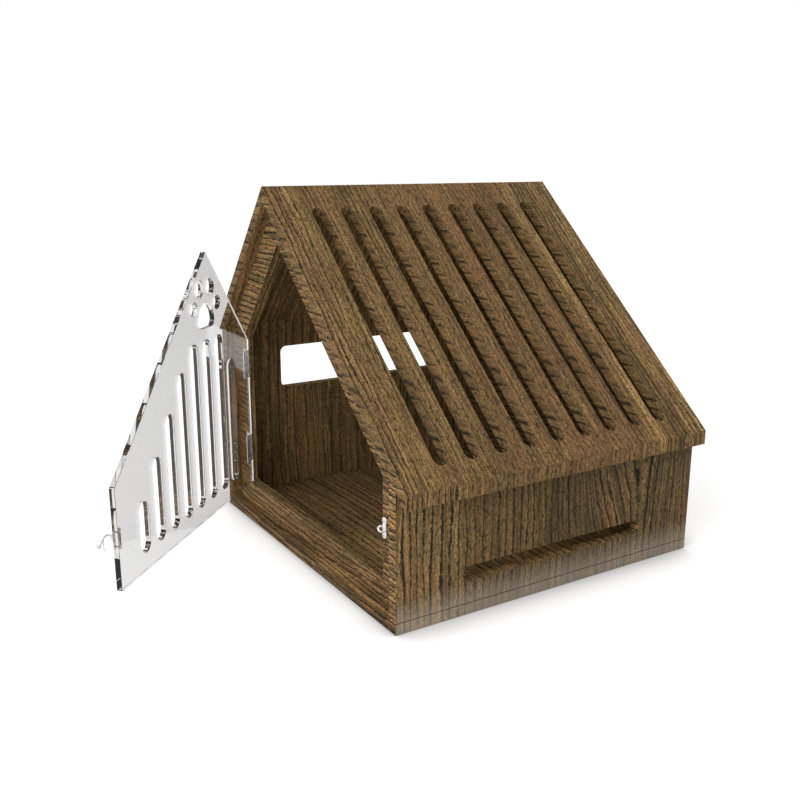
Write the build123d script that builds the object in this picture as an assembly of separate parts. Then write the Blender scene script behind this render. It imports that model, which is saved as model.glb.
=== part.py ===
from build123d import *
import os
from math import cos, radians, sin, tan

# A small indoor pet house: an off-centre gable body of 12 mm veneered boards, a
# recessed front frame, a slatted right roof panel and a clear acrylic door on two
# butt hinges, with a hook and eye on its free side.
#
# Frame: origin at the bottom centre of the base board, +Z up, front towards -Y,
# +X to the right when facing the front. Millimetres throughout. The door and its
# fittings are drawn shut, then swung open to the rest pose.

# ---------------------------------------------------------------- dimensions ----
# Body
WIDTH = 430.0            # across the outer faces of the side walls
DEPTH = 400.0            # front to back
BOARD = 12.0             # thickness of every board
EASE = 0.35              # broken arris on the boards
HALF_WIDTH = WIDTH / 2
FRONT_Y, BACK_Y = -DEPTH / 2, DEPTH / 2
INNER_X = HALF_WIDTH - BOARD     # inner faces of the side walls

# Roof
RIDGE_X = -66.2          # ridge line, left of the middle
RIDGE_Z = 414.4          # overall height
LEFT_PITCH = 49.03       # degrees below horizontal
RIGHT_PITCH = 41.75
LEFT_EAVE_Z = 231.6      # level bottom cut of the left panel
RIGHT_EAVE_X = 232.0     # plumb end cut of the right panel
ROOF_SLOTS = 9
ROOF_SLOT_PITCH = 36.5
ROOF_SLOT_WIDTH = 16.8
ROOF_SLOT_FROM = 35.5    # along the slope from the ridge
ROOF_SLOT_TO = 376.5

# Openings in the side walls
WINDOW_LENGTH = 242.0
WINDOW_Z = (148.6, 203.5)
WINDOW_R = 8.0
WALL_SLOT_LENGTH = 241.5
WALL_SLOT_WIDTH = 16.0
WALL_SLOT_Z = 44.0

# Recessed front frame, one board round the doorway
FRAME_RECESS = 14.0
FRAME_Y = FRONT_Y + FRAME_RECESS     # front face of the frame
STILE_W = 34.5           # uprights
SILL_H = 28.0            # lower rail
LEFT_RAFTER_IN = 46.0    # inner edge, square to the left roof's outer face
RIGHT_RAFTER_IN = 43.75  # inner edge, square to the right roof's outer face
DOORWAY_X = INNER_X - STILE_W        # inner edges of the stiles
SILL_TOP = BOARD + SILL_H

# Door; its outer face is flush with the frame's front face
DOOR_T = 6.0
DOOR_GAP = 2.0           # at the hinge side
DOOR_SILL_GAP = 0.7
DOOR_W = 327.6
DOOR_HINGE_TOP = 226.0   # height of the hinge-side corner
DOOR_APEX = (107.6, 345.1)    # from the hinge edge, height
DOOR_SHOULDER = 145.6    # height of the free-side corner
DOOR_CORNER_R = 2.0
DOOR_EASE = 0.3
DOOR_SLOT_W = 18.5
DOOR_SLOT_FIRST = 53.0   # centre of the first slot, from the hinge edge
DOOR_SLOT_PITCH = 32.0
DOOR_SLOT_FOOT = 60.4
DOOR_SLOT_TOPS = (213.0, 248.0, 248.0, 248.0, 223.6, 186.9, 150.5, 114.4)
DOOR_REST = 45.64        # degrees open in the rest pose
DOOR_X = -INNER_X + STILE_W + DOOR_GAP       # hinge edge of the shut door
DOOR_Z0 = SILL_TOP + DOOR_SILL_GAP

# Paw cut-out in the door
PAW_FROM_EDGE = 114.2    # centre, from the hinge edge
# Right side of the pad, foot to shoulder: across from the centre, height. The
# first three and the last three points each set an arc.
PAD_SIDE = [(12.5, 260.8), (18.9, 263.9), (20.2, 270.9), (15.6, 281.2), (2.6, 288.9)]
PAD_TIP = (0, 289.6)
# Toe pairs: across from the centre, height, length, width, turn in degrees
TOES = (
    (29.3, 285.6, 16.8, 15.4, 0),
    (13.8, 305.4, 19.8, 18.0, 90),
)
TOE_LEAN = 8             # degrees added to the turn, opposite on the two sides

# Hinges
AXIS_OUT = 1.5           # hinge axis in front of the frame's front face
AXIS_IN = 0.7            # hinge axis past the stile's inner edge
AXIS_X = -INNER_X + STILE_W + AXIS_IN
AXIS_Y = FRAME_Y - AXIS_OUT
HINGE_Z = {"upper": 195.0, "lower": 85.5}
HINGE_H = 35.2
LEAF_W = 12.5            # from the hinge axis
LEAF_T = 0.8
LEAF_CORNER_R = 1.6
LEAF_CLEAR = 0.15        # between the knuckles and the plate's inner edge
LEAF_HOLE_R = 0.95
KNUCKLE_R = 1.6
KNUCKLE_GAP = 0.3
KNUCKLE_JOINTS = (0.0, 6.75, 17.8, 28.85, HINGE_H)     # from the top
FRAME_KNUCKLES, DOOR_KNUCKLES = (0, 2), (1, 3)
PIN_R = 0.8
PIN_FIT = 0.05           # radial running clearance
PIN_HEAD_R = 1.25
PIN_HEAD = (0.05, 0.45)  # head's inner and outer faces, beyond the leaf's end
PIN_HEAD_EASE = 0.2
HINGE_SCREW_X = 7.8      # from the hinge axis
HINGE_SCREW_PITCH = 11.5

# Hook and eye
PLATE_T = 1.2
PLATE_EASE = 0.3
PLATE_LOBE_R = 3.6
PLATE_LOBE_Z = 7.5       # lobe and screw centres above and below the middle
PLATE_WAIST = 5.4
FRAME_PLATE_X = 172.8
FRAME_PLATE_Z = 94.0
HOOK_X = DOOR_X + 321.5  # pivot, measured from the hinge edge
HOOK_PIVOT_Z = 93.2
HOOK_OUT = 4.0           # hook's mid plane in front of the door's outer face
HOOK_Y = FRAME_Y - HOOK_OUT
HOOK_EYE_R = 2.9
HOOK_EYE_T = 2.3
HOOK_EYE_EASE = 0.25
EYE_BACK = HOOK_OUT - HOOK_EYE_T / 2     # hook eye's faces, out from the door
EYE_FRONT = HOOK_OUT + HOOK_EYE_T / 2
STUD_R = 1.4
STUD_FIT = 0.05          # round the stud and at both faces of the hook's eye
STUD_COLLAR_R = 2.5
STUD_HEAD_R = 2.2
STUD_HEAD_TOP = 0.85     # head's front face, beyond the eye's front face
STUD_HEAD_FILLET = 0.5
HOOK_WIRE_R = 1.1
# Points of the arm: across and up from the pivot
HOOK_ARM = (
    (1.6, 1.3), (5.6, 5.2), (10.5, 6.5), (15.1, 5.7),
    (19.8, 2.8), (23.8, 0.2), (27.6, 2.6),
)
HOOK_BEAD_R = 2.1        # ball at the arm's lowest bend
PRONG_R = 0.9
PRONG_ARC_R = 16.4       # round the pivot
PRONG_ANGLES = (17.0, -4.0, -25.0)       # start, middle and end, degrees
STAPLE_R = 3.3           # to the wire's centre line
STAPLE_WIRE_R = 1.0
STAPLE_Z = 92.8
STAPLE_IN = 0.6          # centre behind the hook's mid plane
STAPLE_LEAN = 42.0       # degrees from +Z to the ring's axis, towards the right wall
STAPLE_CUT = 0.25        # ring ends this far in front of the frame

# Screws: head radius, head height and shank radius; then the lengths
HINGE_SCREW = (1.6, 0.75, 0.85)
PLATE_SCREW = (1.8, 0.8, 1.0)
FRAME_HINGE_SCREW_L = 9.5
DOOR_HINGE_SCREW_L = 4.9
FRAME_PLATE_SCREW_L = 10.0
DOOR_PLATE_SCREW_L = 5.4
SCREW_HOLE_FIT = 0.04
SCREW_HOLE_EXTRA = 0.3   # hole depth beyond the tip
PLATE_HOLE_FIT = 0.1

# Dowels
DOWEL_R = 3.0
THIN_DOWEL_R = 2.5
DOWEL_EASE = 0.6
DOWEL_FIT = 0.05
DOWEL_HOLE_EXTRA = 0.5   # at each end of the hole
BASE_DOWEL_Z = (5.0, 27.0)
BASE_DOWEL_Y = (-150.0, -50.0, 50.0, 150.0)
BACK_DOWEL_X = (-120.0, 0.0, 120.0)
FRAME_DOWEL_X = (-110.0, 0.0, 110.0)
ROOF_DOWEL_Y = (-164.0, -54.75, 54.75, 164.0)
ROOF_DOWELS = ((-210.0, 219.0, 240.0), (209.0, 139.0, 161.0))    # x, bottom, top
# Dowels from an upright board into the walls (heights) and the roof (distances
# down the slope from the ridge)
LEFT_WALL_DOWEL_Z = (60.0, 135.0, 210.0)
RIGHT_WALL_DOWEL_Z = (60.0, 118.0)
LEFT_ROOF_DOWEL_RUN = (70.0, 160.0)
RIGHT_ROOF_DOWEL_RUN = (90.0, 195.0, 300.0)
DOWEL_OUTER = 6.0        # outer end, in from the outer face
WALL_DOWEL_INNER = 24.0
ROOF_DOWEL_INNER = 27.0

TOL = 1e-6               # for picking edges by place

# ------------------------------------------------------------------- helpers ----
TAN_L, TAN_R = tan(radians(LEFT_PITCH)), tan(radians(RIGHT_PITCH))
COS_L, COS_R = cos(radians(LEFT_PITCH)), cos(radians(RIGHT_PITCH))
SIN_L, SIN_R = sin(radians(LEFT_PITCH)), sin(radians(RIGHT_PITCH))


def left_z(x, inset):
    """Height at x of the left roof's outer plane moved in by inset."""
    return RIDGE_Z - (RIDGE_X - x) * TAN_L - inset / COS_L


def right_z(x, inset):
    return RIDGE_Z - (x - RIDGE_X) * TAN_R - inset / COS_R


def crest(left_inset, right_inset):
    """Where the two roof planes meet, each moved in by its inset."""
    across = (left_inset / COS_L - right_inset / COS_R) / (TAN_L + TAN_R)
    return (RIDGE_X + across, RIDGE_Z + across * TAN_L - left_inset / COS_L)


RIDGE_UNDER = crest(BOARD, BOARD)
# Where the left panel's inner face meets its eave cut
LEFT_UNDER_X = RIDGE_X - (RIDGE_Z - BOARD / COS_L - LEFT_EAVE_Z) / TAN_L


def prism(points, y0, y1):
    """Solid with the given X, Z outline from y0 to y1."""
    wire = Wire.make_polygon([Vector(x, y0, z) for x, z in points], close=True)
    return Solid.extrude(Face(wire), Vector(0, y1 - y0, 0))


def rod(start, end, radius):
    """Cylinder from start to end."""
    a, b = Vector(*start), Vector(*end)
    plane = Plane(origin=a, z_dir=(b - a).normalized())
    return Solid.make_cylinder(radius, (b - a).length, plane)


def slab(x0, x1, y0, y1, z0, z1):
    return Solid.make_box(x1 - x0, y1 - y0, z1 - z0, Plane(origin=(x0, y0, z0)))


def one(shape):
    """The single solid of a boolean result."""
    solids = shape.solids()
    assert len(solids) == 1, len(solids)
    return solids[0]


def eased(solid, keep=None):
    """Breaks the edges, leaving sharp those for which keep(centre) is true."""
    edges = [e for e in solid.edges() if not (keep and keep(e.center()))]
    return one(solid.chamfer(EASE, None, edges))


def through(plane, outline, depth, ease=EASE):
    """Cutter for an opening: outline(grow) is a sketch, cut from plane's face
    inwards for depth, with both rims broken."""
    cut = plane * extrude(outline(0.0), amount=-depth)
    for base, sign in ((0.0, -1.0), (-depth, 1.0)):
        rim = Plane.XY.offset(base) * outline(ease)
        cut += plane * extrude(rim, amount=sign * ease, taper=45)
    return cut


def slot(x, y, length, width, turn=0):
    """Outline function of a round-ended slot, for through()."""

    def outline(grow):
        shape = SlotOverall(length + 2 * grow, width + 2 * grow)
        return Pos(x, y) * Rot(0, 0, turn) * shape

    return outline


def bored(board, holes):
    """Cuts those holes whose bounding boxes overlap the board's."""
    box = board.bounding_box()
    for hole in holes:
        other = hole.bounding_box()
        if all(
            low < other_high and other_low < high
            for low, high, other_low, other_high in zip(
                box.min, box.max, other.min, other.max
            )
        ):
            board = board - hole
    return one(board)


# -------------------------------------------------------------------- dowels ----
# A dowel is listed as its two end points and its radius.
def upright_dowel(x, y, z_range, radius):
    return ((x, y, z_range[0]), (x, y, z_range[1]), radius)


def ring_dowels(y):
    """Dowels that tie an upright board centred on y to the walls and the roof."""
    dowels = []
    for side, heights in ((-1, LEFT_WALL_DOWEL_Z), (1, RIGHT_WALL_DOWEL_Z)):
        ends = sorted(
            (side * (HALF_WIDTH - DOWEL_OUTER), side * (HALF_WIDTH - WALL_DOWEL_INNER))
        )
        for z in heights:
            dowels.append(((ends[0], y, z), (ends[1], y, z), THIN_DOWEL_R))
    for side, cosine, sine, runs in (
        (-1, COS_L, SIN_L, LEFT_ROOF_DOWEL_RUN),
        (1, COS_R, SIN_R, RIGHT_ROOF_DOWEL_RUN),
    ):
        for run in runs:
            x, z = RIDGE_X + side * cosine * run, RIDGE_Z - sine * run
            outer, inner = [
                (x - side * sine * inset, y, z - cosine * inset)
                for inset in (DOWEL_OUTER, ROOF_DOWEL_INNER)
            ]
            dowels.append((outer, inner, THIN_DOWEL_R))
    return dowels


def dowel(start, end, radius):
    body = rod(start, end, radius)
    rims = [e for e in body.edges() if e.geom_type == GeomType.CIRCLE]
    return one(body.chamfer(DOWEL_EASE, None, rims))


def dowel_hole(start, end, radius):
    a, b = Vector(*start), Vector(*end)
    extra = (b - a).normalized() * DOWEL_HOLE_EXTRA
    return rod(tuple(a - extra), tuple(b + extra), radius + DOWEL_FIT)


wall_mid_x = HALF_WIDTH - BOARD / 2
frame_mid_y = FRAME_Y + BOARD / 2
back_mid_y = BACK_Y - BOARD / 2

base_dowels = [
    upright_dowel(x, y, BASE_DOWEL_Z, DOWEL_R)
    for x in (-wall_mid_x, wall_mid_x)
    for y in BASE_DOWEL_Y
] + [upright_dowel(x, back_mid_y, BASE_DOWEL_Z, DOWEL_R) for x in BACK_DOWEL_X]
roof_dowels = [
    upright_dowel(x, y, z_range, THIN_DOWEL_R)
    for y in ROOF_DOWEL_Y
    for x, *z_range in ROOF_DOWELS
]
frame_dowels = ring_dowels(frame_mid_y) + [
    upright_dowel(x, frame_mid_y, BASE_DOWEL_Z, THIN_DOWEL_R) for x in FRAME_DOWEL_X
]
back_dowels = ring_dowels(back_mid_y)

dowel_holes = [
    dowel_hole(*ends) for ends in base_dowels + roof_dowels + frame_dowels + back_dowels
]


# -------------------------------------------------------------------- screws ----
def screw(head_r, head_h, shank_r, length):
    """Pan-head cross-recess screw along +Z: the head's seat is at z=0 and the
    shank goes down."""
    head = Solid.make_cylinder(head_r, head_h, Plane.XY)
    top = [e for e in head.edges() if abs(e.center().Z - head_h) < TOL]
    head = one(head.fillet(head_h * 0.7, top))
    shank_l, tip_l = length * 0.78, length * 0.22
    body = Solid.make_cylinder(shank_r, shank_l, Plane(origin=(0, 0, -shank_l)))
    tip = Solid.make_cone(0.15, shank_r, tip_l, Plane(origin=(0, 0, -length)))
    whole = head.fuse(body, tip)
    narrow, wide, deep = head_r * 0.24, head_r * 1.05, head_h * 0.5
    for a, b in ((narrow, wide), (wide, narrow)):
        whole = whole - slab(-a / 2, a / 2, -b / 2, b / 2, head_h - deep, head_h + 1)
    return one(whole)


def screws(seats, size, length):
    """Screws at the seats, with their heads towards the front."""
    return [
        Plane(origin=seat, x_dir=(1, 0, 0), z_dir=(0, -1, 0)).location
        * screw(*size, length)
        for seat in seats
    ]


def screw_holes(seats, size, length):
    radius = size[2] + SCREW_HOLE_FIT
    return [
        rod((x, y - 0.01, z), (x, y + length + SCREW_HOLE_EXTRA, z), radius)
        for x, y, z in seats
    ]


def hinge_seats(side):
    """Screw seats on the leaves: side is -1 for the frame and +1 for the door."""
    return [
        (AXIS_X + side * HINGE_SCREW_X, FRAME_Y - LEAF_T, zc + i * HINGE_SCREW_PITCH)
        for zc in HINGE_Z.values()
        for i in (-1, 0, 1)
    ]


def plate_seats(x, zc):
    return [(x, FRAME_Y - PLATE_T, zc + side * PLATE_LOBE_Z) for side in (-1, 1)]


frame_hinge_set = (hinge_seats(-1), HINGE_SCREW, FRAME_HINGE_SCREW_L)
door_hinge_set = (hinge_seats(1), HINGE_SCREW, DOOR_HINGE_SCREW_L)
frame_plate_set = (
    plate_seats(FRAME_PLATE_X, FRAME_PLATE_Z), PLATE_SCREW, FRAME_PLATE_SCREW_L
)
door_plate_set = (plate_seats(HOOK_X, HOOK_PIVOT_Z), PLATE_SCREW, DOOR_PLATE_SCREW_L)


# -------------------------------------------------------------------- boards ----
def make_base_board():
    board = slab(-HALF_WIDTH, HALF_WIDTH, FRONT_Y, BACK_Y, 0, BOARD)
    return bored(eased(board), dowel_holes)


def make_left_wall():
    points = [
        (-HALF_WIDTH, BOARD),
        (-INNER_X, BOARD),
        (-INNER_X, left_z(-INNER_X, BOARD)),
        (LEFT_UNDER_X, LEFT_EAVE_Z),
        (-HALF_WIDTH, LEFT_EAVE_Z),
    ]
    wall = eased(
        prism(points, FRONT_Y, BACK_Y), keep=lambda c: abs(c.X - LEFT_UNDER_X) < 0.5
    )

    def window(grow):
        height = WINDOW_Z[1] - WINDOW_Z[0] + 2 * grow
        return Pos(0, sum(WINDOW_Z) / 2) * RectangleRounded(
            WINDOW_LENGTH + 2 * grow, height, WINDOW_R + grow
        )

    # Outer face: local x runs along -Y, local y is up.
    face = Plane(origin=(-HALF_WIDTH, 0, 0), x_dir=(0, -1, 0), z_dir=(-1, 0, 0))
    return bored(one(wall - through(face, window, BOARD)), dowel_holes)


def make_right_wall():
    points = [
        (INNER_X, BOARD),
        (HALF_WIDTH, BOARD),
        (HALF_WIDTH, right_z(HALF_WIDTH, BOARD)),
        (INNER_X, right_z(INNER_X, BOARD)),
    ]
    wall = eased(prism(points, FRONT_Y, BACK_Y))
    face = Plane(origin=(HALF_WIDTH, 0, 0), x_dir=(0, 1, 0), z_dir=(1, 0, 0))
    opening = slot(0, WALL_SLOT_Z, WALL_SLOT_LENGTH, WALL_SLOT_WIDTH)
    return bored(one(wall - through(face, opening, BOARD)), dowel_holes)


def gable_board(y0):
    """Upright board that fills the body's section, with its front face at y0."""
    points = [
        (-INNER_X, BOARD),
        (INNER_X, BOARD),
        (INNER_X, right_z(INNER_X, BOARD)),
        RIDGE_UNDER,
        (-INNER_X, left_z(-INNER_X, BOARD)),
    ]
    return eased(prism(points, y0, y0 + BOARD))


def on_mitre(c):
    """True for an edge in the ridge mitre."""
    return RIDGE_X - 1.5 < c.X < RIDGE_X + 1.5 and c.Z > RIDGE_Z - 2 * BOARD


def make_left_roof():
    points = [
        (RIDGE_X, RIDGE_Z),
        RIDGE_UNDER,
        (LEFT_UNDER_X, LEFT_EAVE_Z),
        (RIDGE_X - (RIDGE_Z - LEFT_EAVE_Z) / TAN_L, LEFT_EAVE_Z),
    ]
    return bored(eased(prism(points, FRONT_Y, BACK_Y), keep=on_mitre), dowel_holes)


def make_right_roof():
    points = [
        (RIDGE_X, RIDGE_Z),
        (RIGHT_EAVE_X, right_z(RIGHT_EAVE_X, 0)),
        (RIGHT_EAVE_X, right_z(RIGHT_EAVE_X, BOARD)),
        RIDGE_UNDER,
    ]
    panel = eased(prism(points, FRONT_Y, BACK_Y), keep=on_mitre)
    # Outer face: local x runs down the slope from the ridge.
    face = Plane(
        origin=(RIDGE_X, 0, RIDGE_Z), x_dir=(COS_R, 0, -SIN_R), z_dir=(SIN_R, 0, COS_R)
    )
    middle, length = (ROOF_SLOT_FROM + ROOF_SLOT_TO) / 2, ROOF_SLOT_TO - ROOF_SLOT_FROM
    for i in range(ROOF_SLOTS):
        y = (i - (ROOF_SLOTS - 1) / 2) * ROOF_SLOT_PITCH
        opening = slot(middle, y, length, ROOF_SLOT_WIDTH)
        panel = panel - through(face, opening, BOARD)
    return bored(one(panel), dowel_holes)


def make_front_frame():
    """Board cut through for the doorway, with both rims of the doorway broken."""
    back_y = FRAME_Y + BOARD
    points = [
        (-DOORWAY_X, SILL_TOP),
        (DOORWAY_X, SILL_TOP),
        (DOORWAY_X, right_z(DOORWAY_X, RIGHT_RAFTER_IN)),
        crest(LEFT_RAFTER_IN, RIGHT_RAFTER_IN),
        (-DOORWAY_X, left_z(-DOORWAY_X, LEFT_RAFTER_IN)),
    ]
    frame = one(gable_board(FRAME_Y) - prism(points, FRAME_Y - 1, back_y + 1))

    def on_doorway(c):
        on_face = abs(c.Y - FRAME_Y) < TOL or abs(c.Y - back_y) < TOL
        inside = abs(c.X) < DOORWAY_X + TOL and c.Z > SILL_TOP - TOL
        top = min(left_z(c.X, LEFT_RAFTER_IN), right_z(c.X, RIGHT_RAFTER_IN))
        return on_face and inside and c.Z < top + TOL

    rims = [e for e in frame.edges() if on_doorway(e.center())]
    frame = one(frame.chamfer(EASE, None, rims))
    holes = dowel_holes + screw_holes(*frame_hinge_set) + screw_holes(*frame_plate_set)
    return bored(frame, holes)


# ---------------------------------------------------------------- door panel ----
def paw_pad(grow):
    """The paw's pad: flat foot, full sides and a softly pointed top."""
    right = PAD_SIDE
    left = [(-x, z) for x, z in right]
    edges = [
        Line(left[0], right[0]),
        ThreePointArc(*right[:3]),
        ThreePointArc(*right[2:]),
        ThreePointArc(right[-1], PAD_TIP, left[-1]),
        ThreePointArc(*left[:1:-1]),
        ThreePointArc(*left[2::-1]),
    ]
    shape = make_face(Curve() + edges)
    if grow:
        shape = offset(shape, amount=grow)
    return Pos(PAW_FROM_EDGE, 0) * shape


def make_door_panel():
    """Drawn flat: x from the hinge edge, y up, outer face at z=0."""
    sheet = make_face(
        Polyline(
            (0, DOOR_Z0),
            (DOOR_W, DOOR_Z0),
            (DOOR_W, DOOR_SHOULDER),
            DOOR_APEX,
            (0, DOOR_HINGE_TOP),
            close=True,
        )
    )
    sheet = fillet(sheet.vertices(), DOOR_CORNER_R)
    door = extrude(sheet, amount=-DOOR_T)
    rims = [
        e
        for e in door.edges()
        if abs(e.center().Z) < TOL or abs(e.center().Z + DOOR_T) < TOL
    ]
    door = chamfer(rims, DOOR_EASE)

    openings = []
    for i, top in enumerate(DOOR_SLOT_TOPS):
        x, y = DOOR_SLOT_FIRST + i * DOOR_SLOT_PITCH, (top + DOOR_SLOT_FOOT) / 2
        openings.append(slot(x, y, top - DOOR_SLOT_FOOT, DOOR_SLOT_W, 90))
    openings.append(paw_pad)
    for across, y, length, width, turn in TOES:
        for side in (-1, 1):
            x = PAW_FROM_EDGE + side * across
            openings.append(slot(x, y, length, width, turn + side * TOE_LEAN))
    for outline in openings:
        door = door - through(Plane.XY, outline, DOOR_T, DOOR_EASE)

    face = Plane(origin=(DOOR_X, FRAME_Y, 0), x_dir=(1, 0, 0), z_dir=(0, -1, 0))
    holes = screw_holes(*door_hinge_set) + screw_holes(*door_plate_set)
    return bored(one(face * door), holes)


# -------------------------------------------------------------------- hinges ----
def hinge_leaf(zc, side, knuckles):
    """One leaf with its knuckles. side is -1 for the frame and +1 for the door."""
    top = zc + HINGE_H / 2
    inner = KNUCKLE_R + LEAF_CLEAR
    x0, x1 = sorted((AXIS_X + side * inner, AXIS_X + side * LEAF_W))
    plate = slab(x0, x1, FRAME_Y - LEAF_T, FRAME_Y, top - HINGE_H, top)
    corners = [
        e
        for e in plate.edges()
        if abs(abs(e.center().X - AXIS_X) - LEAF_W) < TOL
        and abs(e.center().Z - zc) > HINGE_H / 2 - TOL
        and abs(e.center().Y - (FRAME_Y - LEAF_T / 2)) < TOL
    ]
    body = one(plate.fillet(LEAF_CORNER_R, corners))
    # Each knuckle is tied to the plate by a strip that overlaps it.
    x0, x1 = sorted((AXIS_X, AXIS_X + side * (inner + 0.5)))
    for k in knuckles:
        z1 = top - KNUCKLE_JOINTS[k] - (KNUCKLE_GAP / 2 if k else 0)
        z0 = top - KNUCKLE_JOINTS[k + 1] + (KNUCKLE_GAP / 2 if k < 3 else 0)
        body = body.fuse(
            Solid.make_cylinder(KNUCKLE_R, z1 - z0, Plane(origin=(AXIS_X, AXIS_Y, z0))),
            slab(x0, x1, FRAME_Y - LEAF_T, FRAME_Y, z0, z1),
        )
    body = body - rod(
        (AXIS_X, AXIS_Y, top - HINGE_H - 1), (AXIS_X, AXIS_Y, top + 1), PIN_R + PIN_FIT
    )
    for i in (-1, 0, 1):
        x, z = AXIS_X + side * HINGE_SCREW_X, zc + i * HINGE_SCREW_PITCH
        body = body - rod((x, FRAME_Y - 2, z), (x, FRAME_Y + 1, z), LEAF_HOLE_R)
    return one(body)


def hinge_pin(zc):
    """Pin with a thin peened head at each end."""

    def axis_rod(z0, z1, radius):
        return rod((AXIS_X, AXIS_Y, z0), (AXIS_X, AXIS_Y, z1), radius)

    half = HINGE_H / 2
    head_in, head_out = PIN_HEAD
    body = axis_rod(zc - half - 0.1, zc + half + 0.1, PIN_R)
    for side in (-1, 1):
        z0, z1 = sorted((zc + side * (half + head_in), zc + side * (half + head_out)))
        body = body.fuse(axis_rod(z0, z1, PIN_HEAD_R))
    rims = [
        e for e in body.edges() if abs(abs(e.center().Z - zc) - (half + head_out)) < TOL
    ]
    return one(body.chamfer(PIN_HEAD_EASE, None, rims))


# --------------------------------------------------------------- hook and eye ----
def lobed_plate(x, z):
    """Two-lobed plate on the plane y = FRAME_Y, facing the front."""
    face = Plane(origin=(x, FRAME_Y, z), x_dir=(1, 0, 0), z_dir=(0, -1, 0))
    lobe = Circle(PLATE_LOBE_R)
    lobes = Pos(0, PLATE_LOBE_Z) * lobe + Pos(0, -PLATE_LOBE_Z) * lobe
    plate = extrude(lobes + Rectangle(PLATE_WAIST, 2 * PLATE_LOBE_Z), amount=PLATE_T)
    rims = [e for e in plate.edges() if abs(e.center().Z - PLATE_T) < TOL]
    plate = chamfer(rims, PLATE_EASE)
    for side in (-1, 1):
        hole = Cylinder(PLATE_SCREW[2] + PLATE_HOLE_FIT, 10)
        plate -= Pos(0, side * PLATE_LOBE_Z) * hole
    return one(face * plate)


def make_frame_eye_plate():
    """Plate with a leaning ring that crosses the prong's arc."""
    rise = STAPLE_Z - HOOK_PIVOT_Z
    x = HOOK_X + (PRONG_ARC_R**2 - rise**2) ** 0.5
    lean = radians(STAPLE_LEAN)
    plane = Plane(
        origin=(x, HOOK_Y + STAPLE_IN, STAPLE_Z),
        x_dir=(0, -1, 0),
        z_dir=(sin(lean), 0, cos(lean)),
    )
    staple = Solid.make_torus(STAPLE_R, STAPLE_WIRE_R, plane)
    staple = staple - slab(
        x - 20, x + 20, FRAME_Y - STAPLE_CUT, FRAME_Y + 20, STAPLE_Z - 20, STAPLE_Z + 20
    )
    return one(lobed_plate(FRAME_PLATE_X, FRAME_PLATE_Z).fuse(one(staple)))


def pivot_rod(out0, out1, radius):
    """Rod on the hook's pivot, between two distances out from the door."""
    return rod(
        (HOOK_X, FRAME_Y - out0, HOOK_PIVOT_Z), (HOOK_X, FRAME_Y - out1, HOOK_PIVOT_Z), radius
    )


def make_door_hook_plate():
    """Plate with the collar, stud and head that carry the hook's eye."""
    head_top = EYE_FRONT + STUD_HEAD_TOP
    head = pivot_rod(EYE_FRONT + STUD_FIT, head_top, STUD_HEAD_R)
    rim = [e for e in head.edges() if abs(e.center().Y - (FRAME_Y - head_top)) < TOL]
    head = one(head.fillet(STUD_HEAD_FILLET, rim))
    return one(
        lobed_plate(HOOK_X, HOOK_PIVOT_Z).fuse(
            pivot_rod(PLATE_T - 0.1, EYE_BACK - STUD_FIT, STUD_COLLAR_R),
            pivot_rod(EYE_BACK - 0.3, EYE_FRONT + 0.3, STUD_R),
            head,
        )
    )


def hook_point(across, up):
    return Vector(HOOK_X + across, HOOK_Y, HOOK_PIVOT_Z + up)


def wire_along(path, radius):
    return sweep(Plane(origin=path @ 0, z_dir=path % 0) * Circle(radius), path=path)


def make_latch_hook():
    eye = pivot_rod(EYE_BACK, EYE_FRONT, HOOK_EYE_R)
    rims = [e for e in eye.edges() if e.geom_type == GeomType.CIRCLE]
    eye = one(eye.chamfer(HOOK_EYE_EASE, None, rims))
    arm_path = Spline(*[hook_point(*p) for p in HOOK_ARM])
    arm = wire_along(arm_path, HOOK_WIRE_R)
    prong_path = ThreePointArc(
        *[
            hook_point(PRONG_ARC_R * cos(radians(a)), PRONG_ARC_R * sin(radians(a)))
            for a in PRONG_ANGLES
        ]
    )
    prong = wire_along(prong_path, PRONG_R)
    hook = eye.fuse(
        arm.solid(),
        prong.solid(),
        Solid.make_sphere(PRONG_R, Plane(origin=prong_path @ 1)),
        Solid.make_sphere(HOOK_WIRE_R, Plane(origin=arm_path @ 1)),
        Solid.make_sphere(HOOK_BEAD_R, Plane(origin=hook_point(*HOOK_ARM[-2]))),
    )
    return one(hook - pivot_rod(EYE_BACK - 1, EYE_FRONT + 1, STUD_R + STUD_FIT))


# -------------------------------------------------------------------- export ----
fixed = {
    "base_board": make_base_board(),
    "left_wall": make_left_wall(),
    "right_wall": make_right_wall(),
    "back_panel": bored(gable_board(BACK_Y - BOARD), dowel_holes),
    "left_roof_panel": make_left_roof(),
    "right_roof_panel": make_right_roof(),
    "front_frame": make_front_frame(),
    "base_dowels": [dowel(*ends) for ends in base_dowels],
    "roof_dowels": [dowel(*ends) for ends in roof_dowels],
    "frame_dowels": [dowel(*ends) for ends in frame_dowels],
    "back_dowels": [dowel(*ends) for ends in back_dowels],
    "frame_hinge_screws": screws(*frame_hinge_set),
    "frame_eye_plate": make_frame_eye_plate(),
    "frame_eye_screws": screws(*frame_plate_set),
}
swinging = {
    "door_panel": make_door_panel(),
    "door_hinge_screws": screws(*door_hinge_set),
    "door_hook_plate": make_door_hook_plate(),
    "door_hook_screws": screws(*door_plate_set),
    "latch_hook": make_latch_hook(),
}
for name, zc in HINGE_Z.items():
    fixed[name + "_hinge_frame_leaf"] = hinge_leaf(zc, -1, FRAME_KNUCKLES)
    fixed[name + "_hinge_pin"] = hinge_pin(zc)
    swinging[name + "_hinge_door_leaf"] = hinge_leaf(zc, 1, DOOR_KNUCKLES)

door_axis = Axis((AXIS_X, AXIS_Y, 0), (0, 0, 1))


def stay(shape):
    return shape


def swing_open(shape):
    return shape.rotate(door_axis, -DOOR_REST)


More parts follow.
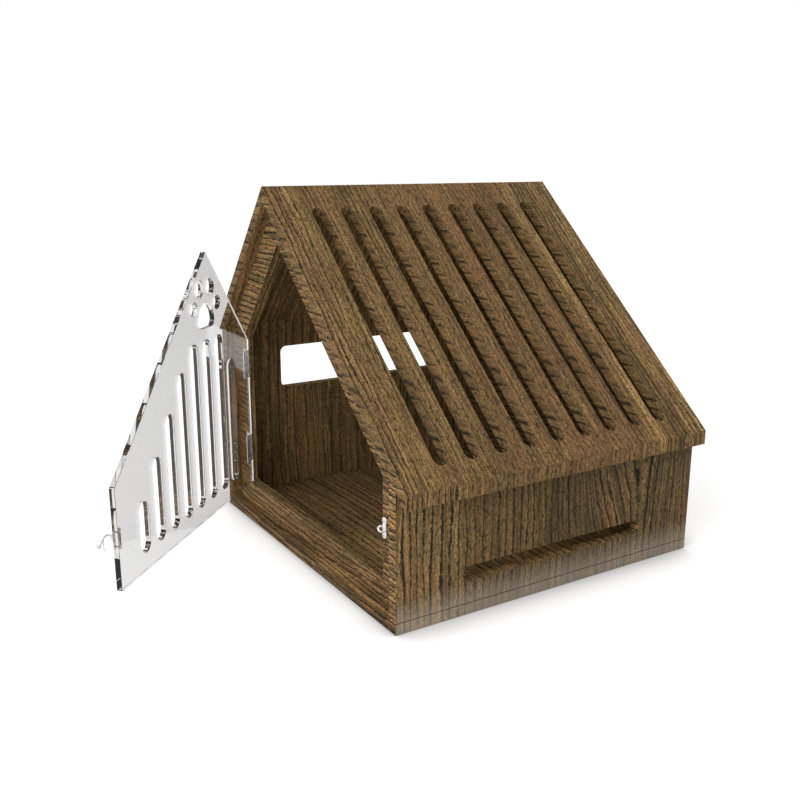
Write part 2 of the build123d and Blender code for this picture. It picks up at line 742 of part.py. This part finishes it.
os.makedirs("parts", exist_ok=True)
for group, place in ((fixed, stay), (swinging, swing_open)):
    for name, shape in group.items():
        if isinstance(shape, list):
            shape = Compound(children=[place(s) for s in shape])
        else:
            shape = place(shape)
        export_step(shape, os.path.join("parts", name + ".step"))
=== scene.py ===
"""A small oak house with a pitched roof and a clear acrylic door, on a pale floor.

The front looks to -Y, the right side to +X, and the house stands on z = 0. The CAD
pieces keep their shapes. This script gives them materials and sets up the studio.
"""
import math

import bpy
from mathutils import Matrix, Vector

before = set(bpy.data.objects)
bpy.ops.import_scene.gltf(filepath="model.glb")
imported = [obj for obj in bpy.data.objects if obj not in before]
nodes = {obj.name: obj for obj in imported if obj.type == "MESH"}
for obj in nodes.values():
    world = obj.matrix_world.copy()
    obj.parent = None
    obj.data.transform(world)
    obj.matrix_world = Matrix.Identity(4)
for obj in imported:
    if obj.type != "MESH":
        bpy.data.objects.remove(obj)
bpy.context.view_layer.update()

scene = bpy.context.scene

MM = 1000.0  # millimetres in a metre


# --------------------------------------------------------------- node helpers ----
class Value:
    """A node's output. Arithmetic on it adds Math nodes."""

    def __init__(self, graph, socket):
        self.graph = graph
        self.socket = socket

    def __add__(self, other):
        return self.graph.math("ADD", self, other)

    def __radd__(self, other):
        return self.graph.math("ADD", other, self)

    def __rsub__(self, other):
        return self.graph.math("SUBTRACT", other, self)

    def __mul__(self, other):
        return self.graph.math("MULTIPLY", self, other)

    def __abs__(self):
        return self.graph.math("ABSOLUTE", self)


class Graph:
    """Builds nodes in a node tree."""

    def __init__(self, tree):
        self.tree = tree

    def put(self, socket, value):
        if isinstance(value, Value):
            value = value.socket
        if isinstance(value, bpy.types.NodeSocket):
            self.tree.links.new(value, socket)
        else:
            socket.default_value = value

    def node(self, kind, inputs=None, **settings):
        node = self.tree.nodes.new("ShaderNode" + kind)
        for key, setting in settings.items():
            setattr(node, key, setting)
        for key, value in (inputs or {}).items():
            self.put(node.inputs[key], value)
        return node

    def value(self, kind, inputs=None, output=0, **settings):
        return Value(self, self.node(kind, inputs, **settings).outputs[output])

    def math(self, operation, *operands):
        return self.value("Math", dict(enumerate(operands)), operation=operation)

    def vec(self, x, y, z):
        return self.value("CombineXYZ", {0: x, 1: y, 2: z})

    def split(self, vector):
        return [Value(self, part) for part in self.node("SeparateXYZ", {0: vector}).outputs]

    def dot(self, a, b):
        return self.value("VectorMath", {0: a, 1: b}, "Value", operation="DOT_PRODUCT")

    def noise(self, vector, detail, roughness):
        inputs = {"Vector": vector, "Scale": 1.0, "Detail": detail, "Roughness": roughness}
        return self.value("TexNoise", inputs, noise_dimensions="3D")

    def ramp(self, value, low, high, start=0.0, end=1.0):
        """Goes smoothly from start, at low, to end, at high."""
        inputs = dict(enumerate((value, low, high, start, end)))
        return self.value("MapRange", inputs, interpolation_type="SMOOTHSTEP")

    def mix(self, switch, off, on):
        return self.value("Mix", {0: switch, 2: off, 3: on}, data_type="FLOAT")

    def colour(self, amount, under, over):
        return self.value("Mix", {0: amount, 6: under, 7: over}, 2, data_type="RGBA")

    def bump(self, height, strength, distance):
        inputs = {"Strength": strength, "Distance": distance, "Height": height}
        return self.value("Bump", inputs)

    def by_ray(self, level, changes):
        """A level that changes for some kinds of ray. The last change that fits wins."""
        path = self.node("LightPath")
        for kind, changed in changes:
            level = self.mix(path.outputs[f"Is {kind} Ray"], level, changed)
        return level


class Material(Graph):
    def __init__(self, name):
        self.material = bpy.data.materials.new(name)
        self.material.use_nodes = True
        super().__init__(self.material.node_tree)
        self.tree.nodes.clear()

    def finish(self, shader):
        self.node("OutputMaterial", {"Surface": shader})
        return self.material

    def principled(self, inputs):
        return self.finish(self.value("BsdfPrincipled", inputs))


def centred(noise):
    return noise + -0.5


def srgb(*channels):
    def linear(c):
        c /= 255.0
        return c / 12.92 if c <= 0.04045 else ((c + 0.055) / 1.055) ** 2.4

    return (*map(linear, channels), 1.0)


# ------------------------------------------------------------------------ oak ----
TAN, BROWN, DARK = srgb(160, 130, 86), srgb(118, 96, 63), srgb(86, 70, 46)
BLACK, RED, GLOW = srgb(37, 37, 27), srgb(131, 97, 68), srgb(176, 130, 88)
EDGE_SHEEN_AND_WEAR, GLUE_LINE_AND_GROOVE_SHADE, FLOOR_BOUNCE_GLOW = srgb(160, 118, 74), srgb(30, 24, 17), srgb(205, 196, 182)

SEAM_Z = 12.0  # joint line over the base board, mm
FOOT_TOP, FOOT_LOW = 42.0, 2.0  # heights between which the painted glow of floor bounce grows, mm
LEAN_FROM = 42.0  # place along the grain where a lean starts, mm

# Noise layers: cycles per mm along and across the grain, seed offset, detail, roughness.
LAYERS = {
    "slow": (0.0032, 0.011, 0.0, 1.0, 0.4),
    "mid": (0.022, 0.075, 3.1, 2.0, 0.5),
    "ragged": (0.27, 0.75, 7.7, 2.0, 0.65),
    "drift": (0.002, 0.03, 9.0, 1.0, 0.4),
    "strong": (0.006, 0.055, 11.0, 1.0, 0.5),
    "dash": (0.075, 0.7, 13.0, 3.0, 0.6),
    "broad": (0.003, 0.05, 17.0, 3.0, 0.55),
    "streak": (0.012, 0.36, 23.0, 3.0, 0.65),
    "fibre": (0.20, 1.3, 29.0, 3.0, 0.7),
    "pore": (0.15, 0.95, 31.0, 2.0, 0.6),
    "grit": (0.50, 0.68, 37.0, 2.0, 0.7),
    "red": (0.004, 0.035, 41.0, 2.0, 0.5),
    "warm": (0.03, 0.12, 47.0, 2.0, 0.5),
}


class Oak(Material):
    """Dark oiled oak, in millimetres. Grain runs along the slope of a roof and up a
    wall, and along X on level faces and on faces that look to the front or the back."""

    def __init__(self, name, seed):
        super().__init__(name)
        coords = self.node("TexCoord").outputs
        self.x, y, self.z = self.split(coords["Object"])
        self.nx, self.ny, self.nz = self.split(coords["Normal"])
        slope = self.vec(self.nz * -1.0, 0.0, self.nx)
        self.front = self.math("GREATER_THAN", abs(self.ny), 0.7)
        self.side = 1.0 - self.front
        self.flat = self.math("GREATER_THAN", abs(self.nz), 0.95)
        self.along = self.mix(self.front, self.dot(coords["Object"], slope), self.x) * MM
        self.across = self.mix(self.front, y, self.z) * MM
        # The seed moves each board to its own place in the noise.
        self.seeded_along = self.along + seed * 137.3
        self.seeded_across = self.across + seed * 71.9
        self.depth = seed * 13.7

    def layer(self, name, across):
        along_rate, across_rate, offset, detail, roughness = LAYERS[name]
        place = self.vec(self.seeded_along * along_rate, across * across_rate, self.depth + offset)
        return self.noise(place, detail, roughness)

    def bent_grain(self, wander, leans):
        """Place across the grain: slow wander, a finer wobble and the leans."""
        bent = self.seeded_across
        bent = bent + centred(self.layer("slow", self.seeded_across)) * (wander * 2.0)
        bent = bent + centred(self.layer("mid", self.seeded_across)) * 6.5
        for axis, half, lean in leans:
            offset = self.across + -axis
            near = self.math("EXPONENT", offset * offset * (-1.0 / (half * half)))
            lift = self.math("MAXIMUM", self.along + -LEAN_FROM, 0.0)
            bent = bent + lift * lean * near * self.side
        return bent

    def rings(self, bent, ragged, pitch, front_pitch):
        """Early wood makes a dark ragged line once a ring, with a glowing flank."""
        step = self.mix(self.front, 1.0 / pitch, 1.0 / front_pitch)
        ring = self.math("FRACT", ragged * step + self.layer("drift", bent) * 1.7)
        line = self.ramp(ring, low=0.67, high=0.80) * self.ramp(ring, low=1.0, high=0.93)
        flank = self.ramp(ring, low=0.42, high=0.62) * self.ramp(ring, low=0.80, high=0.70)
        strong = self.ramp(self.layer("strong", bent), low=0.36, high=0.60)
        faintest = self.mix(self.front, 0.30, 0.5)
        line = line * self.ramp(self.layer("dash", ragged), low=0.34, high=0.54, start=faintest)
        return line * (0.45 + strong * 0.55), flank

    def zone_factors(self, values, zones):
        """Multiplies tone, lines and streaks by the stops across side faces."""
        zoned = self.side * (1.0 - self.flat)
        for (start, *before), (end, *after) in zip(zones, zones[1:]):
            passed = self.ramp(self.across, start, end) * zoned
            values = [value * self.mix(passed, 1.0, new / old)
                      for value, old, new in zip(values, before, after)]
        return [value * self.mix(zoned, 1.0, first) for value, first in zip(values, zones[0][1:])]

    def redness(self, bent, flush):
        red = self.ramp(self.layer("red", bent), low=0.50, high=0.68) * 0.40 + self.front * 0.16
        if flush:
            axis, half, amount = flush
            offset = (self.across + -axis) * (1.0 / half)
            red = red + self.math("EXPONENT", offset * offset * -1.0) * amount * self.side
        return red

    def edges(self, colour, fibre, haze):
        """Arrises lightened where a rounded normal leaves the true one, partly wear and partly a
        painted edge highlight; the glue line, partly painted groove shade; and a painted glow of
        floor bounce at the foot.
        """
        rounded = self.value("Bevel", {"Radius": 0.0009}, samples=4)
        true = self.node("NewGeometry").outputs["Normal"]
        # Painted highlight and wear: arrises turn a lighter tan.
        edge_sheen_and_wear = self.ramp(self.dot(rounded, true), low=0.985, high=0.80)
        edge_sheen_and_wear = edge_sheen_and_wear * self.ramp(fibre, low=0.34, high=0.60, start=0.2)
        colour = self.colour(edge_sheen_and_wear * 0.30, colour, EDGE_SHEEN_AND_WEAR)
        # Dark glue line over the base board, partly painted shade in the groove of the joint.
        glue_line_and_groove_shade = self.ramp(abs(self.z * MM + -SEAM_Z), low=0.75, high=0.35)
        glue_line_and_groove_shade = glue_line_and_groove_shade * self.math("LESS_THAN", abs(self.nz), 0.9)
        colour = self.colour(glue_line_and_groove_shade * 0.75, colour, GLUE_LINE_AND_GROOVE_SHADE)
        # Painted light: faces to +X turn pale towards the foot, a glow of light bounced from the
        # floor.
        if haze:
            right = self.math("GREATER_THAN", self.nx, 0.9)
            floor_bounce_glow = self.ramp(self.z * MM, FOOT_TOP, FOOT_LOW) * (right * haze)
            colour = self.colour(floor_bounce_glow, colour, FLOOR_BOUNCE_GLOW)
        return colour


def oak(name, seed, pitch=11.0, wander=12.0, tone=1.0, lines=1.0, zones=(), leans=(),
        flush=None, front_pitch=8.0, front_tone_and_light=1.0, front_lines=1.3, front_streak=1.0,
        side_tone_and_light=1.0, level_tone_and_light=1.0, far_tone_and_light=1.0, inner_shade=1.0, haze=0.0):
    """pitch is the ring width, lines the strength of the ring lines, and haze that of
    the painted glow of floor bounce at the foot of faces to +X. zones holds (y, tone,
    lines, streaks) stops, leans holds (y, half width, slope) where the upper grain leans
    over, and flush is the (y, half width, amount) of a reddish patch. front_ values are
    for faces to the front or back, side_tone_and_light for upright side faces,
    level_tone_and_light for level ones, which also turn by far_tone_and_light towards +X,
    and inner_shade for faces to -Y. These face values are partly the wood's own look and
    partly painted light and shade by which way a face looks; inner_shade is painted shade
    inside the house."""
    g = Oak(name, seed)
    bent = g.bent_grain(wander, leans)
    ragged = bent + centred(g.layer("ragged", g.seeded_across)) * 3.8
    line, flank = g.rings(bent, ragged, pitch, front_pitch)
    streak, fibre = g.layer("streak", ragged), g.layer("fibre", ragged)
    pores = g.ramp(g.layer("pore", ragged) + line * 0.08, low=0.550, high=0.610)
    grit = g.layer("grit", g.seeded_across)

    # Partly painted light and shade: faces turn brighter or darker by which way they look, partly
    # the wood's own look.
    level = g.mix(g.front, tone, tone * front_tone_and_light)
    for faces, face_tone_and_light in (
        (g.math("GREATER_THAN", abs(g.nx), 0.9), side_tone_and_light),
        (g.flat, level_tone_and_light),
        (g.math("LESS_THAN", g.ny, -0.7), inner_shade),
        (g.flat * g.ramp(g.x, low=-0.04, high=0.08), far_tone_and_light),
    ):
        level = level * g.mix(faces, 1.0, face_tone_and_light)
    weight = g.mix(g.front, lines, front_lines)
    calm = g.mix(g.front, 1.0, front_streak)
    if zones:
        level, weight, calm = g.zone_factors((level, weight, calm), zones)

    # Coats of colour over the dark ground, each with the amount that covers it.
    warm = g.ramp(g.layer("warm", bent), low=0.42, high=0.62)
    colour = DARK
    for amount, coat in (
        (g.ramp(g.layer("broad", bent), low=0.34, high=0.66), BROWN),
        (g.ramp(streak, low=0.44, high=0.70) * (calm * 0.85), TAN),
        (g.ramp(streak, low=0.50, high=0.30) * (calm * 0.45), DARK),
        (g.redness(bent, flush), RED),
        (flank * warm * (calm * 0.45), GLOW),
        (line * weight, BLACK),
        (pores * 0.70, BLACK),
    ):
        colour = g.colour(amount, colour, coat)

    # Fibre and grit change the brightness, which never falls below a small floor.
    value = 0.99 + centred(fibre) * 1.7 + centred(grit) * 2.3
    value = g.math("MAXIMUM", value * level, 0.05)
    colour = g.value("HueSaturation", {"Saturation": 1.05, "Value": value, "Color": colour})

    # Pores and ring lines are sunk, and fibres stand up.
    height = fibre * 0.6 + pores * -0.9 + line * -0.4
    return g.principled({
        "Base Color": g.edges(colour, fibre, haze),
        "Roughness": 0.62 + pores * 0.2 + centred(streak) * -0.3,
        "Specular IOR Level": 0.10,
        "Normal": g.bump(height, strength=0.35, distance=0.0003),
    })


# ---------------------------------------------------- beech, acrylic and metal ----
def beech(name):
    g = Material(name)
    x, y, z = g.split(g.node("TexCoord").outputs["Object"])
    fleck = g.noise(g.vec(x * 900.0, y * 900.0, z * 120.0), detail=3.0, roughness=0.6)
    return g.principled({
        "Base Color": g.colour(fleck, srgb(196, 158, 112), srgb(164, 122, 80)),
        "Roughness": 0.5 + fleck * 0.2,
        "Normal": g.bump(fleck, strength=0.3, distance=0.0002),
    })


DOOR_TURN = math.radians(45.64)
DOOR_NORMAL = (math.sin(DOOR_TURN), math.cos(DOOR_TURN), 0.0)


def acrylic(name):
    """Clear cast sheet. Lamps and soft light pass it, so that it throws no black
    shadow. Faint smudges stay on the faces, and saw marks on the cut edges."""
    g = Material(name)
    coords = g.node("TexCoord").outputs
    x, y, z = g.split(coords["Object"])
    face = abs(g.dot(coords["Normal"], g.vec(*DOOR_NORMAL)))
    cut = g.ramp(face, low=0.99, high=0.90)
    haze = g.noise(g.vec(x * 38.0, y * 38.0, z * 30.0), detail=3.0, roughness=0.6)
    saw = g.noise(g.vec(x * 420.0, y * 420.0, z * 420.0), detail=1.0, roughness=0.5)
    smudge = g.ramp(haze, low=0.60, high=0.78) * 0.01
    sheet = g.value("BsdfPrincipled", {
        "Base Color": (0.87, 0.865, 0.865, 1.0),
        "Transmission Weight": 1.0,
        "IOR": 1.49,
        "Roughness": g.mix(cut, smudge, 0.01),
        "Normal": g.bump(saw, strength=cut * 0.05, distance=0.00002),
    })
    clear = g.value("BsdfTransparent", {0: (0.95, 0.95, 0.95, 1.0)})
    path = g.node("LightPath").outputs
    soft = g.math("MAXIMUM", path["Is Shadow Ray"], path["Is Diffuse Ray"])
    return g.finish(g.value("MixShader", {0: soft, 1: sheet, 2: clear}))


def plated(name, tint, roughness, seed):
    """Bright plated steel with fine rubbed marks, and painted shade that darkens and roughens the
    recesses.
    """
    g = Material(name)
    x, y, z = g.split(g.node("TexCoord").outputs["Object"])
    rub = g.noise(g.vec(x * 5000.0, y * 5000.0, z * 700.0 + seed), detail=3.0, roughness=0.6)
    cloud = g.noise(g.vec(x * 350.0, y * 350.0, z * 350.0), detail=3.0, roughness=0.6)
    openness = g.value("AmbientOcclusion", {"Distance": 0.0012}, "AO", samples=4)
    # Painted shade: ambient occlusion darkens the colour in the recesses.
    painted_recess_shade = g.ramp(openness, low=0.75, high=0.25)
    dull = (*(channel * 0.86 for channel in tint[:3]), 1.0)
    colour = g.colour(g.ramp(cloud, low=0.4, high=0.7), tint, dull)
    return g.principled({
        "Base Color": g.colour(painted_recess_shade * 0.65, colour, (0.10, 0.09, 0.08, 1.0)),
        "Metallic": 0.6,
        "Roughness": roughness + rub * 0.14 + painted_recess_shade * 0.25,
        "Normal": g.bump(rub, strength=0.08, distance=0.00005),
    })


# ---------------------------------------------------------- looks of the pieces ----
# Zone stops: y in mm, tone, line strength, streak strength.
WALL_ZONES = [
    (-200, 1.03, 2.0, 0.9), (-138, 1.03, 2.0, 0.9), (-112, 0.71, 0.9, 0.6),
    (30, 0.65, 0.95, 0.6), (75, 0.74, 1.6, 0.7), (190, 0.74, 1.6, 0.7),
]
ROOF_ZONES = [
    (-200, 1.06, 1.1, 1.1), (-160, 1.02, 1.0, 1.0), (-120, 1.0, 0.6, 0.75),
    (100, 1.0, 0.6, 0.75), (125, 1.0, 0.5, 0.8), (130, 1.45, 0.2, 1.1),
    (137, 1.45, 0.2, 1.1), (142, 0.96, 1.3, 1.0), (168, 0.94, 1.4, 1.0),
    (180, 1.28, 0.9, 1.3), (200, 1.22, 1.0, 1.3),
]
# The base board and the right wall share one run of grain.
RIGHT_GRAIN = dict(seed=1.0, pitch=9.5, zones=WALL_ZONES, front_lines=2.4, haze=0.26,
                   leans=[(70, 62, 0.26), (140, 22, -0.16)])
OAK_PIECES = {
    "base_board": dict(RIGHT_GRAIN, front_tone_and_light=0.62, front_streak=2.6, level_tone_and_light=0.75,
                       far_tone_and_light=2.0),
    "left_wall": dict(seed=1.6, pitch=12.0, wander=14.0, tone=0.90, lines=0.7, front_tone_and_light=0.9),
    "right_wall": dict(RIGHT_GRAIN, front_pitch=7.0, front_tone_and_light=1.06, front_streak=2.4,
                       level_tone_and_light=1.08),
    "back_panel": dict(seed=4.6, pitch=13.0, wander=20.0, inner_shade=0.5),
    "left_roof_panel": dict(seed=5.2, pitch=9.0, wander=14.0, lines=0.6, front_pitch=11.0,
                            front_tone_and_light=0.80),
    "right_roof_panel": dict(seed=1.0, pitch=6.5, tone=0.915, front_pitch=13.0,
                             front_tone_and_light=1.06, front_lines=0.9, front_streak=0.7,
                             side_tone_and_light=0.92, flush=(20, 95, 0.33), zones=ROOF_ZONES),
    "front_frame": dict(seed=1.0, pitch=9.0, wander=10.0, front_pitch=7.0, front_tone_and_light=0.82,
                        front_lines=1.7, front_streak=2.0, level_tone_and_light=0.81),
}


def dress_pieces():
    looks = {name: oak("oak_" + name, **look) for name, look in OAK_PIECES.items()}
    peg = beech("beech_peg")
    door = acrylic("clear_acrylic")
    bright = plated("bright_plate", tint=(0.95, 0.95, 0.96, 1.0), roughness=0.20, seed=0.0)
    screw = plated("bright_screw", tint=(0.80, 0.80, 0.81, 1.0), roughness=0.24, seed=5.0)
    for name, piece in nodes.items():
        if name in looks:
            material = looks[name]
        elif "dowel" in name:
            material = peg
        elif name == "door_panel":
            material = door
        elif "screw" in name:
            material = screw
        else:
            material = bright
        piece.data.materials.clear()
        piece.data.materials.append(material)


# --------------------------------------------------------------------- studio ----
def add_object(name, data):
    item = bpy.data.objects.new(name, data)
    scene.collection.objects.link(item)
    return item


def pale_floor():
    """Matt grey that glows evenly, with a painted contact shadow where the glow drops close under
    the house.
    """
    g = Material("pale_floor")
    openness = g.value("AmbientOcclusion", {"Distance": 0.05}, "AO", samples=8)
    glow = g.by_ray(0.38, (("Camera", 0.52), ("Glossy", 0.12), ("Transmission", 0.30)))
    return g.principled({
        "Base Color": (0.62, 0.62, 0.62, 1.0),
        "Roughness": 0.9,
        "Specular IOR Level": 0.0,
        "Emission Color": (1.0, 1.0, 1.0, 1.0),
        # Painted contact shadow: the ramp on ambient occlusion dims the glow close under the
        # house.
        "Emission Strength": g.ramp(openness, low=0.35, high=1.0) * glow,
    })


def add_floor(half=9.0, drop=0.0004):
    mesh = bpy.data.meshes.new("floor")
    corners = [(-half, -half, 0), (half, -half, 0), (half, half, 0), (-half, half, 0)]
    mesh.from_pydata(corners, [], [(0, 1, 2, 3)])
    floor = add_object("floor", mesh)
    mesh.materials.append(pale_floor())
    floor.location.z = -drop


def add_world():
    world = bpy.data.worlds.new("studio")
    world.use_nodes = True
    g = Graph(world.node_tree)
    background = world.node_tree.nodes["Background"]
    background.inputs[0].default_value = (1.0, 1.0, 1.0, 1.0)
    level = g.by_ray(0.80, (("Glossy", 0.60), ("Transmission", 1.0), ("Camera", 1.0)))
    g.put(background.inputs[1], level)
    scene.world = world


def add_lamp(name, direction, distance, size, power):
    """A soft round lamp that looks at the middle of the house."""
    lamp = bpy.data.lights.new(name, "AREA")
    lamp.shape = "DISK"
    lamp.size = size
    lamp.energy = power
    item = add_object(name, lamp)
    outward = Vector(direction).normalized()
    item.location = Vector((0, 0, 0.18)) + outward * distance
    item.rotation_mode = "QUATERNION"
    item.rotation_quaternion = (-outward).to_track_quat("-Z", "Y")
    item.visible_camera = False
    item.visible_transmission = False


def add_camera(place, azimuth, elevation, roll, lens):
    """Angles are in degrees, and azimuth turns from -Y towards +X."""
    azimuth, elevation, roll = map(math.radians, (azimuth, elevation, roll))
    forward = -Vector((math.sin(azimuth) * math.cos(elevation),
                       -math.cos(azimuth) * math.cos(elevation), math.sin(elevation)))
    right = forward.cross(Vector((0, 0, 1))).normalized()
    up = right.cross(forward)
    rolled_right = right * math.cos(roll) + up * math.sin(roll)
    rolled_up = up * math.cos(roll) - right * math.sin(roll)
    camera = bpy.data.cameras.new("camera")
    camera.sensor_fit = "HORIZONTAL"
    camera.sensor_width = 36.0
    camera.lens = lens
    camera.clip_start = 0.02
    camera.clip_end = 50.0
    item = add_object("camera", camera)
    pose = Matrix((rolled_right, rolled_up, -forward)).transposed().to_4x4()
    pose.translation = Vector(place)
    item.matrix_world = pose
    scene.camera = item


def set_render():
    scene.view_settings.view_transform = "Standard"
    scene.view_settings.look = "None"
    scene.view_settings.exposure = 0.0
    scene.cycles.max_bounces = 10
    scene.cycles.transmission_bounces = 8
    scene.cycles.transparent_max_bounces = 16
    scene.cycles.glossy_bounces = 6
    scene.cycles.diffuse_bounces = 4


dress_pieces()
add_floor()
add_world()
add_lamp("key", direction=(0.34, -0.75, 0.56), distance=3.6, size=2.4, power=75.0)
add_camera(place=(0.90684, -0.62483, 0.44733), azimuth=58.15, elevation=14.67, roll=0.07,
           lens=42.035)
set_render()
